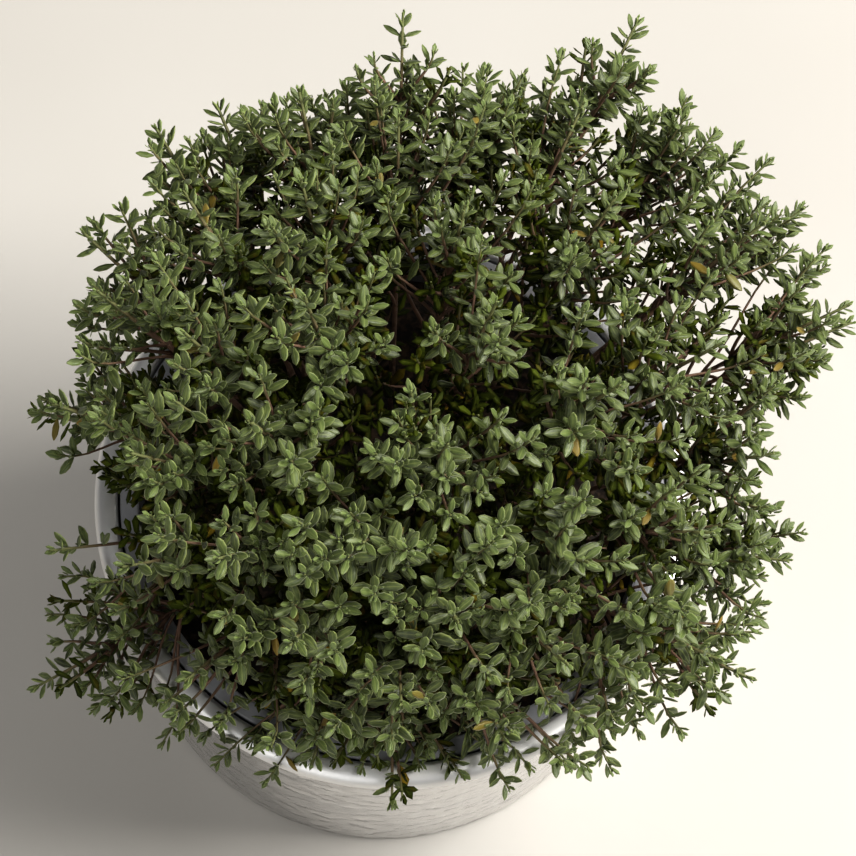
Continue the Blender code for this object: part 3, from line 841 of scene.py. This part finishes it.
def twig_goals(stems, draw):
    """Where the twigs end, and for each its stem, shade, rise and how far back it may start: spirals over the
    canopy and below it, each goal wandering, low ones near the soil, then the sprays at the edge and what
    grows with them."""
    tips = stems[:, 3]
    goals, looks = [], []
    for count, depth, *look in TWIG_LAYERS:
        layer = canopy(*over_canopy(count))
        deep = draw.uniform(*depth, (count, 1))
        deep -= PROUD_RISE * (draw.uniform(0, 1, (count, 1)) < PROUD_SHARE)
        layer += unit((0, 0, POT_HEIGHT) - layer) * deep
        layer += draw.normal(0, TWIG_WANDER, layer.shape)
        kept = draw.uniform(0, 1, count)
        apart = np.linalg.norm(layer[:, None] - tips[None], axis=2).min(axis=1)
        keep = apart > TWIG_LEAST_APART
        for x, y, radius, dropped in THIN_PLACES:
            keep &= ~(within(layer, x, y, radius) & (kept < dropped))
        goals.append(layer[keep])
        looks.append(np.tile((*look, TWIG_RISING), (keep.sum(), 1)))
    goals.append(low_places(draw))
    looks.append(np.tile((LOW_SHADE, LOW_BACK, TWIG_RISING), (LOW_TWIGS, 1)))
    edge = spray_tips(EDGE_SPRAYS)
    sprays = np.concatenate([edge, tips[RULED_STEMS:]])
    outward = unit(sprays - (0, 0, POT_HEIGHT))
    beside = unit(np.cross(outward, UP))
    over = np.cross(beside, outward)
    companions = [
        sprays + beside * sideways + over * above - outward * back
        for sideways, above, back in COMPANIONS
    ]
    companions.append(edge)
    goals += companions
    at_edge = sum(len(part) for part in companions)
    looks.append(np.tile((0.0, TWIG_LAYERS[0][3], SPRAY_RISING), (at_edge, 1)))
    goals, looks = np.concatenate(goals), np.concatenate(looks)
    seen = ~bare(goals, draw)
    goals, looks = goals[seen], looks[seen]
    from_low = looks[:, 1] == LOW_BACK
    low = np.array([bezier(stem, [LOW_SHARE])[0] for stem in stems])
    marks = np.where(from_low[:, None, None], low[None], tips[None])
    owners = np.linalg.norm(goals[:, None] - marks, axis=2).argmin(axis=1)
    return goals, owners, *looks.T


def low_places(draw):
    """The points of a sunflower spiral close to the soil."""
    rank = np.arange(LOW_TWIGS)
    height = POT_HEIGHT + draw.uniform(*LOW_RISE, LOW_TWIGS)
    return around(LOW_REACH * np.sqrt((rank + 0.5) / LOW_TWIGS), rank * GOLDEN_ANGLE, height)


def bare(points, draw):
    """Whether each point is missing, by the share of the bare place in which the camera sees it."""
    eye = np.array([0, -math.cos(CAMERA_ELEVATION), math.sin(CAMERA_ELEVATION)]) * CAMERA_DISTANCE
    height = points[:, 2:] - POT_HEIGHT
    seen = eye[:2] + (points[:, :2] - eye[:2]) * eye[2] / (eye[2] - height)
    chance = draw.uniform(0, 1, len(points))
    missing = np.zeros(len(points), bool)
    for x, y, radius, share in BARE_PLACES:
        missing |= within(seen, x, y, radius) & (chance < share)
    return missing


def within(points, x, y, radius):
    """Whether each point is in a circle given in millimetres, seen from above."""
    return np.linalg.norm(points[:, :2] - (x * MM, y * MM), axis=1) < radius * MM


def gone_on(controls, length):
    """A shoot's curve that goes on past its tip the way it ends."""
    further = unit(controls[3] - controls[2]) * length
    return controls + np.array([0, 0, 0.6, 1])[:, None] * further


def grow_shoots():
    """Every shoot of every stem, as (controls, first radius, last radius, leafy length, youth, shade)."""
    draw = np.random.default_rng(21)
    tips = stem_tips()
    stems = np.array([stem_controls(tip) for tip in tips])
    shoots = []
    for owner, stem in enumerate(stems):
        lean = unit(stem[3] - stem[0])
        side = turned_about(unit(np.cross(lean, (1, 0.2, 0))), lean, owner * GOLDEN_ANGLE)
        further = STRAY_GOES_ON if owner >= RULED_STEMS or bare(stem[3:], draw)[0] else STEM_GOES_ON
        shoots.append([(gone_on(stem, further), *STEM_RADII, STEM_LEAFY, STEM_YOUTH, 0.0)])
        for share, length, quarter in SIDE_SHOOTS:
            controls = side_shoot_controls(stem, share, length, quarter, side)
            controls = gone_on(controls, 0.0 if bare(controls[3:], draw)[0] else SHOOT_GOES_ON)
            look = *SHOOT_RADII, SHOOT_LEAFY * length, SHOOT_YOUTH, SIDE_SHOOT_SHADE
            shoots[-1].append((controls, *look))
    goals, owners, *looks = twig_goals(stems, draw)
    drifts = draw.normal(0, TWIG_DRIFT, goals.shape)
    for goal, owner, shade, most, rising, drift in zip(goals, owners, *looks, drifts):
        controls = twig_controls(stems[owner], goal, drift, rising, most)
        length = np.linalg.norm(controls[3] - controls[0])
        shoots[owner].append((controls, *TWIG_RADII, TWIG_LEAFY * length, TWIG_YOUTH, shade))
    return shoots


def leaf_frames(controls, leafy, draw):
    """The leaf pairs of one shoot: base, direction, upper side, length, distance from the tip, the side that
    each stands on, and the shoot's direction.

    A pair stands at each distance of NODE_BACK, a quarter turn on from the last. A leaf leans from the
    shoot by the pair's angle, and its upper side turns a little to the sky.
    """
    share, run = measured(controls)
    back = NODE_BACK * draw.uniform(*PAIR_SPACING)
    nodes = np.nonzero(back < min(leafy, LEAFY_MOST * run[-1]))[0]
    at = np.interp(run[-1] - back[nodes], run, share)
    centre, tangent = bezier(controls, at), bezier_slope(controls, at)
    tip = unit(controls[3] - controls[2])
    side = square_to(unit(np.cross(tip, draw.normal(0, 1, 3))), tangent)
    over = np.cross(tangent, side)
    turn = (nodes * math.pi / 2)[:, None] + np.array([0, math.pi])
    turn = turn + draw.normal(0, TURN_WANDER, turn.shape)
    outward = side[:, None] * np.cos(turn)[..., None] + over[:, None] * np.sin(turn)[..., None]
    lean = (NODE_LEAN[nodes][:, None] + draw.normal(0, LEAN_WANDER, turn.shape))[..., None]
    tangent = tangent[:, None] + 0 * outward
    along = tangent * np.cos(lean) + outward * np.sin(lean)
    upper = tangent * np.sin(lean) - outward * np.cos(lean) + LEAF_TO_SKY * UP
    upper = square_to(upper + draw.normal(0, FACE_WANDER, along.shape), along)
    length = NODE_LENGTH[nodes][:, None] * draw.uniform(*TWIG_LENGTHS)
    length = length * draw.uniform(*LEAF_LENGTHS, turn.shape)
    root = centre[:, None] + outward * LEAF_STALK
    distance = back[nodes][:, None] + 0 * turn
    flat = [part.reshape(-1, *part.shape[2:]) for part in (root, along, upper, length, distance, outward)]
    return *flat, tangent.reshape(-1, 3)


def leaf_skins(root, along, upper, length, width, arch, fold, stations, across):
    """Leaves as closed skins, all at once.

    Along a leaf, u goes from 0 to 1, and the half width is width / 2 times sine(pi u^1.12)^0.75. Across it,
    x goes from -1 to 1 over the blade and comes back under it. Over the blade the height is a swell on each
    side of the midrib less a roll at the edge, plus the fold. The blade bends back by arch times u squared.
    """
    u = np.array(stations)[:, None]
    x = np.array([*across, 0.0])
    out = np.abs(x)
    rise = LEAF_SWELL * np.sin(math.pi * out) - LEAF_ROLL * out**3 - LEAF_GROOVE * (x == 0)
    rise[-1] = -LEAF_UNDER
    length, width, arch, fold = (part[:, None, None] for part in (length, width, arch, fold))
    half_width = width / 2 * np.sin(math.pi * u ** LEAF_OUTLINE[0]) ** LEAF_OUTLINE[1]
    height = half_width * (rise + fold * out) - arch * length * u**2
    forward = length * u + 0 * x
    root, along, upper = (part[:, None, None] for part in (root, along, upper))
    rings = root + np.cross(along, upper) * (half_width * x)[..., None]
    rings = rings + along * forward[..., None] + upper * height[..., None]
    end = root + along * length[..., None] - upper * (arch * length)[..., None]
    count = len(root)
    points = np.concatenate([rings.reshape(count, -1, 3), root[:, 0], end[:, 0]], axis=1)
    edge = out + 0 * u
    under = 0 * edge
    under[:, -1] = 1
    edge[:, -1] = 0.5
    place = np.stack([u + 0 * edge, edge, under], axis=-1).reshape(-1, 3)
    place = np.concatenate([place, [(0, 0.5, 0)], [(1, 0.9, 0)]])
    return points, np.broadcast_to(place, (count, *place.shape))


def tubes(paths, radii, first_side, sides):
    """Round twigs as closed skins: a ring carried along each path. Paths is (twigs, points, 3)."""
    tangent = unit(np.gradient(paths, axis=1))
    side = square_to(first_side[:, None], tangent)
    over = np.cross(tangent, side)
    angle = np.arange(sides) * 2 * math.pi / sides
    ring = side[:, :, None] * np.cos(angle)[:, None] + over[:, :, None] * np.sin(angle)[:, None]
    rings = paths[:, :, None] + ring * radii[:, :, None, None]
    low = paths[:, 0] - tangent[:, 0] * radii[:, 0, None] * 0.5
    high = paths[:, -1] + tangent[:, -1] * radii[:, -1, None]
    return np.concatenate([rings.reshape(len(paths), -1, 3), low[:, None], high[:, None]], axis=1)


def leaf_looks(length, distance, shade, draw, settings):
    """Width, arch, fold, tone, youth and yellow of each leaf of one shoot. Young leaves are folded and bend
    in, grown ones are flatter and bend back."""
    count = len(length)
    # Painted shade: the tone falls with the twig's shade, and with age, which is partly real and partly
    # painted shade.
    tone = draw.uniform(*TWIG_TONES) - TONE_AGED * smooth_step(distance, *AGE_SPAN) - TONE_SHADED * shade
    tone = tone + draw.normal(0, TONE_WANDER, count)
    youth = np.exp(-distance / YOUTH_FADE) * draw.uniform(*LEAF_YOUTHS, count)
    share = settings.yellowed * (1 + YELLOW_SHADED * shade)
    yellow = (draw.uniform(0, 1, count) < share) * (distance > YELLOW_FROM)
    yellow = yellow * draw.uniform(*YELLOWNESS, count)
    arch = ARCH + ARCH_YOUNG * youth + draw.normal(0, ARCH_WANDER, count)
    fold = np.clip(FOLD + FOLD_YOUNG * youth + draw.normal(0, FOLD_WANDER, count), *FOLD_RANGE)
    width = length * settings.leaf_width * draw.uniform(*LEAF_WIDTHS, count)
    return width, arch, fold, tone, youth, yellow


def axil_leaves(root, upper, outward, tangent, tone, draw, settings):
    """Small leaves that stand in the axils of these leaves, as what leaf_skins takes and their looks."""
    along_part, out_part, wander = AXIL_LEAN
    lean = unit(tangent * along_part + outward * out_part + draw.normal(0, wander, root.shape))
    face = square_to(upper + draw.normal(0, AXIL_FACE_WANDER, root.shape), lean)
    size = draw.uniform(*AXIL_LENGTH, len(root))
    arch, fold, youth, yellow = (0 * size + value for value in (AXIL_ARCH, AXIL_FOLD, AXIL_YOUTH, 0))
    width = size * settings.leaf_width * AXIL_WIDTH
    return root, lean, face, size, width, arch, fold, tone + AXIL_TONE, youth, yellow


def make_leaves(number, shoots, draw, settings, materials):
    """The leaves of one stem as three pieces: grown leaves, small ones at the tips and in the axils, and the
    old ones of the shaded twigs, whose material is the leaf's copy with painted shade."""
    # The list old gathers the leaves of the shaded twigs, which take the darker copy of the leaf: painted
    # shade.
    grown, small, old = [], [], []
    for controls, _, _, leafy, _, shade in shoots:
        frames = leaf_frames(controls, leafy, draw)
        missing = bare(frames[0] + frames[1] * frames[3][:, None] / 2, draw)
        kept = ~missing | (frames[4] < TIP_LEAVES)
        root, along, upper, length, distance, outward, tangent = (part[kept] for part in frames)
        looks = leaf_looks(length, distance, shade, draw, settings)
        leaves = (root, along, upper, length, *looks)
        buds = (distance < TIP_BUDS) | (distance > SMALL_FROM) | (shade > 0)
        little = old if shade > 0 else small
        grown.append([part[~buds] for part in leaves])
        little.append([part[buds] for part in leaves])
        axils = np.nonzero(distance > AXIL_FROM)[0]
        filled = OLD_AXIL_SHARE if shade > 0 else AXIL_SHARE
        axils = np.repeat(axils[draw.uniform(0, 1, len(axils)) < filled], 2)
        there = (part[axils] for part in (root, upper, outward, tangent, looks[3]))
        little.append(axil_leaves(*there, draw, settings))
    fresh, shaded = materials
    kinds = (
        ("thyme_leaves", grown, fresh, LEAF_STATIONS, LEAF_ACROSS),
        ("thyme_small_leaves", small, fresh, BUD_STATIONS, BUD_ACROSS),
        ("thyme_old_leaves_in_painted_shade", old, shaded, BUD_STATIONS, BUD_ACROSS),
    )
    for label, parts, material, stations, across in kinds:
        *shape, tone, youth, yellow = [np.concatenate(column) for column in zip(*parts)]
        points, place = leaf_skins(*shape, stations, across)
        kind = np.stack([np.clip(tone, 0, 1), youth, yellow], axis=1)[:, None] + 0 * points
        values = {"leaf_place": place, "leaf_kind": kind}
        grid = (len(stations), len(across) + 1)
        piece = add_skins(f"{label}_{number:02d}", points, *grid, material, "thyme", values)
        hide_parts(f"leafy_stem_{number:02d}")


def make_twigs(number, shoots, material):
    """The woody parts of one stem: its own stem from below the soil up, and all its side shoots."""
    share = np.linspace(0, 1, TWIG_RINGS)
    paths, radii, youths = [], [], []
    for rank, (controls, first, last, _, youth, _) in enumerate(shoots):
        path = bezier(controls, share)
        if rank == 0:
            path[0] = path[0] - UP * ROOT_DEPTH
        paths.append(path)
        radii.append(first + (last - first) * share**0.8)
        youths.append(youth + (1 - youth) * share)
    paths, radii, youths = np.array(paths), np.array(radii), np.array(youths)
    lean = unit(paths[:, -1] - paths[:, 0])
    side = unit(np.cross(lean, (0.6, 0.75, 0.28)))
    points = tubes(paths, radii, side, TWIG_SIDES)
    place = np.repeat(youths, TWIG_SIDES, axis=1)
    place = np.concatenate([place, youths[:, :1], youths[:, -1:]], axis=1)
    values = {"twig_place": np.repeat(place[..., None], 3, axis=-1)}
    cells = (2, math.ceil(len(paths) / 2))
    grid = (TWIG_RINGS, TWIG_SIDES)
    piece = add_skins(f"thyme_twigs_{number:02d}", points, *grid, material, "thyme", values, cells)
    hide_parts(f"leafy_stem_{number:02d}")


# Camera and stage


def put(thing, axes, place):
    """Turns an object to these axes and puts it at this place."""
    matrix = Matrix(np.transpose(axes).tolist()).to_4x4()
    matrix.translation = place.tolist()
    thing.matrix_world = matrix


def aim_camera():
    """Puts the camera where the photograph was taken from.

    It looks at the rim's centre from the given elevation, is rolled about that line, and is then turned so
    that the rim's centre falls on its pixel and not on the middle of the picture.
    """
    target = np.array([0, 0, POT_HEIGHT])
    sight = np.array([0, math.cos(CAMERA_ELEVATION), -math.sin(CAMERA_ELEVATION)])
    right = np.array([1.0, 0, 0])
    axes = np.array([right, np.cross(right, sight), -sight])
    c, s = math.cos(CAMERA_ROLL), math.sin(CAMERA_ROLL)
    roll = np.array([[c, -s, 0], [s, c, 0], [0, 0, 1]])
    x = (RIM_CENTRE_PIXEL[0] - PHOTO_SIZE / 2) / FOCAL_PIXELS
    y = -(RIM_CENTRE_PIXEL[1] - PHOTO_SIZE / 2) / FOCAL_PIXELS
    shift = Vector((0, 0, -1)).rotation_difference(Vector((x, y, -1))).to_matrix()
    data = bpy.data.cameras.new("camera")
    data.sensor_width = SENSOR_WIDTH
    data.lens = FOCAL_PIXELS / PHOTO_SIZE * SENSOR_WIDTH
    data.clip_start = 0.01
    camera = add_object("camera", data)
    put(camera, np.array(shift) @ roll @ axes, target - sight * CAMERA_DISTANCE)
    bpy.context.scene.camera = camera


def add_light(name, place, size, power, colour):
    """A soft square light that shines at the bush."""
    data = bpy.data.lights.new(name, "AREA")
    data.size = size
    data.energy = power
    data.color = colour
    place = np.array(place)
    back = unit(place - (0, 0, POT_HEIGHT))
    right = unit(np.cross(UP, back))
    put(add_object(name, data), [right, np.cross(back, right), back], place)


def soft_sky(strength):
    """The soft light all round: the given strength overhead, and stronger towards the horizon."""
    world = bpy.data.worlds.new("soft sky")
    world.use_nodes = True
    tree = world.node_tree
    direction = add_node(tree, "ShaderNodeTexCoord", output="Generated")
    height = add_node(tree, "ShaderNodeSeparateXYZ", {0: direction}, 2)
    span = {0: height, 1: 0.0, 2: 0.5, 3: HORIZON_TIMES * strength, 4: strength}
    sky = tree.nodes["Background"]
    sky.inputs["Color"].default_value = linear("#F2F1EE")
    tree.links.new(add_node(tree, "ShaderNodeMapRange", span, **SMOOTH), sky.inputs["Strength"])
    return world


def make_floor(settings):
    # A matt painted board: pale, with the faintest cloudiness.
    constants = {"Roughness": 0.8}
    material, tree, shader, _, cloud = new_material("matt painted board", constants, (FLOOR_CLOUD, 2.0))
    colour = painted(tree, settings.floor_colour, ("#B6B3AE", cloud))
    tree.links.new(colour, shader.inputs["Base Color"])
    corners = turned(np.array([(FLOOR_REACH, 0)]), FLOOR_CORNERS)[0]
    mesh = bpy.data.meshes.new("floor")
    mesh.from_pydata(corners.tolist(), [], [range(FLOOR_CORNERS)])
    mesh.materials.append(material)
    floor = add_object("floor", mesh)


# Settings


class PotSettings(bpy.types.PropertyGroup):
    dent_size: FloatProperty(
        name="Dent size", description="Width of a hammer mark", default=4.2 * MM, unit="LENGTH"
    )
    dent_depth: FloatProperty(
        name="Dent depth", description="Depth of a hammer mark", default=0.55 * MM, unit="LENGTH"
    )
    metal_colour: StringProperty(name="Metal", description="Colour of the pot, sRGB hex", default="#DCDCDC")
    liner_colour: StringProperty(name="Liner", description="Colour of the liner, sRGB hex", default="#8E8F93")
    soil_colour: StringProperty(name="Soil", description="Colour of the soil, sRGB hex", default="#1B140E")


class ThymeSettings(bpy.types.PropertyGroup):
    leaf_width: FloatProperty(
        name="Leaf width", description="Width over length", default=0.415, subtype="FACTOR"
    )
    yellowed: FloatProperty(
        name="Yellowed", description="Share of yellowed leaves", default=0.017, subtype="FACTOR"
    )
    leaf_colour: StringProperty(name="Leaf", description="Grown leaf, sRGB hex", default="#343F13")
    # The old leaves' colour, darker and more olive than the grown one, is partly age and partly painted
    # shade.
    old_leaf_painted_shade_colour: StringProperty(name="Old leaf in painted shade", description="Shaded old leaf, sRGB hex", default="#444E0E")
    dark_colour: StringProperty(name="Dark leaf", description="Darkest leaf, sRGB hex", default="#171E04")
    young_colour: StringProperty(name="Young leaf", description="Youngest leaf, sRGB hex", default="#677A40")
    yellow_colour: StringProperty(name="Yellow", description="Yellowed leaf, sRGB hex", default="#7C661E")
    bark_colour: StringProperty(name="Bark", description="Colour of bark, sRGB hex", default="#705747")


class StageSettings(bpy.types.PropertyGroup):
    floor_colour: StringProperty(name="Floor", description="Colour of the floor, sRGB hex", default="#ADA9A3")
    key_power: FloatProperty(
        name="Key light", description="Power of the main light", default=32.0, unit="POWER"
    )
    sky_strength: FloatProperty(name="Sky", description="Strength of the light overhead", default=0.085)


# Operators


class MakePot(bpy.types.Operator):
    """Makes the hammered metal pot in place of its plain solid"""

    bl_idname = "thyme.make_pot"
    bl_label = "Make pot"

    def execute(self, context):
        settings = context.scene.thyme_pot
        rings, dents = pot_rings(settings.dent_size, settings.dent_depth)
        points = with_poles(rings, (0, 0, 0), (0, 0, POT_WALL))
        material = pot_material(settings)
        place = np.concatenate([dents.ravel(), [0, 0]])[None, :, None] + 0 * points
        values = {"dent_place": place}
        grid = rings.shape[:2]
        piece = add_skins("hammered_pot", points, *grid, material, "hammered_metal", values)
        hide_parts("pot")
        return {"FINISHED"}


class MakeLiner(bpy.types.Operator):
    """Gives the liner its material and a smooth lip over its own"""

    bl_idname = "thyme.make_liner"
    bl_label = "Make liner"

    def execute(self, context):
        material = liner_material(context.scene.thyme_pot)
        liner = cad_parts["liner"]
        liner.data.materials.clear()
        liner.data.materials.append(material)
        add_ring("liner_lip", lip_rings(), material)
        return {"FINISHED"}


class MakeSoil(bpy.types.Operator):
    """Makes the crumbly soil in place of its plain solid"""

    bl_idname = "thyme.make_soil"
    bl_label = "Make soil"

    def execute(self, context):
        rings = soil_rings()
        high = POT_HEIGHT - SOIL_DROP + SOIL_MOUND
        points = with_poles(rings, (0, 0, SOIL_LOW), (0, 0, high))
        material = soil_material(context.scene.thyme_pot)
        piece = add_skins("crumbly_soil", points, *rings.shape[:2], material, "potting_soil")
        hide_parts("soil")
        return {"FINISHED"}


class GrowThyme(bpy.types.Operator):
    """Grows twigs and leaves on every stem in place of its plain solid"""

    bl_idname = "thyme.grow_thyme"
    bl_label = "Grow thyme"

    def execute(self, context):
        settings = context.scene.thyme_plant
        leaves = thyme_leaf_material(settings), old_leaf_painted_shade_material(settings)
        bark = thyme_bark_material(settings)
        draw = np.random.default_rng(5)
        for k, shoots in enumerate(grow_shoots()):
            make_leaves(k + 1, shoots, draw, settings, leaves)
            make_twigs(k + 1, shoots, bark)
        return {"FINISHED"}


class SetStage(bpy.types.Operator):
    """Sets the pale floor, the soft light and the photograph's camera"""

    bl_idname = "thyme.set_stage"
    bl_label = "Set stage"

    def execute(self, context):
        settings = context.scene.thyme_stage
        make_floor(settings)
        for name, place, size, share, colour in LIGHTS:
            add_light(name, place, size, settings.key_power * share, colour)
        context.scene.world = soft_sky(settings.sky_strength)
        context.scene.view_settings.view_transform = "Standard"
        context.scene.view_settings.look = "Medium High Contrast"
        aim_camera()
        return {"FINISHED"}


class ThymePanel(bpy.types.Panel):
    """Lists the sizes, the colours and the steps"""

    bl_idname = "VIEW3D_PT_potted_thyme"
    bl_label = "Potted Thyme"
    bl_space_type = "VIEW_3D"
    bl_region_type = "UI"
    bl_category = "Thyme"

    def draw(self, context):
        for group in SETTINGS:
            settings = getattr(context.scene, group)
            for name in settings.__annotations__:
                self.layout.prop(settings, name)
        for operator in OPERATORS:
            self.layout.operator(operator.bl_idname)


SETTINGS = {"thyme_pot": PotSettings, "thyme_plant": ThymeSettings, "thyme_stage": StageSettings}
OPERATORS = (MakePot, MakeLiner, MakeSoil, GrowThyme, SetStage)


def register():
    for made in (*SETTINGS.values(), *OPERATORS, ThymePanel):
        bpy.utils.register_class(made)
    for name, group in SETTINGS.items():
        setattr(bpy.types.Scene, name, bpy.props.PointerProperty(type=group))


def unregister():
    for name in SETTINGS:
        delattr(bpy.types.Scene, name)
    for made in reversed((*SETTINGS.values(), *OPERATORS, ThymePanel)):
        bpy.utils.unregister_class(made)


def main():
    register()
    bpy.ops.thyme.make_pot()
    bpy.ops.thyme.make_liner()
    bpy.ops.thyme.make_soil()
    bpy.ops.thyme.grow_thyme()
    bpy.ops.thyme.set_stage()


if __name__ == "__main__":
    main()
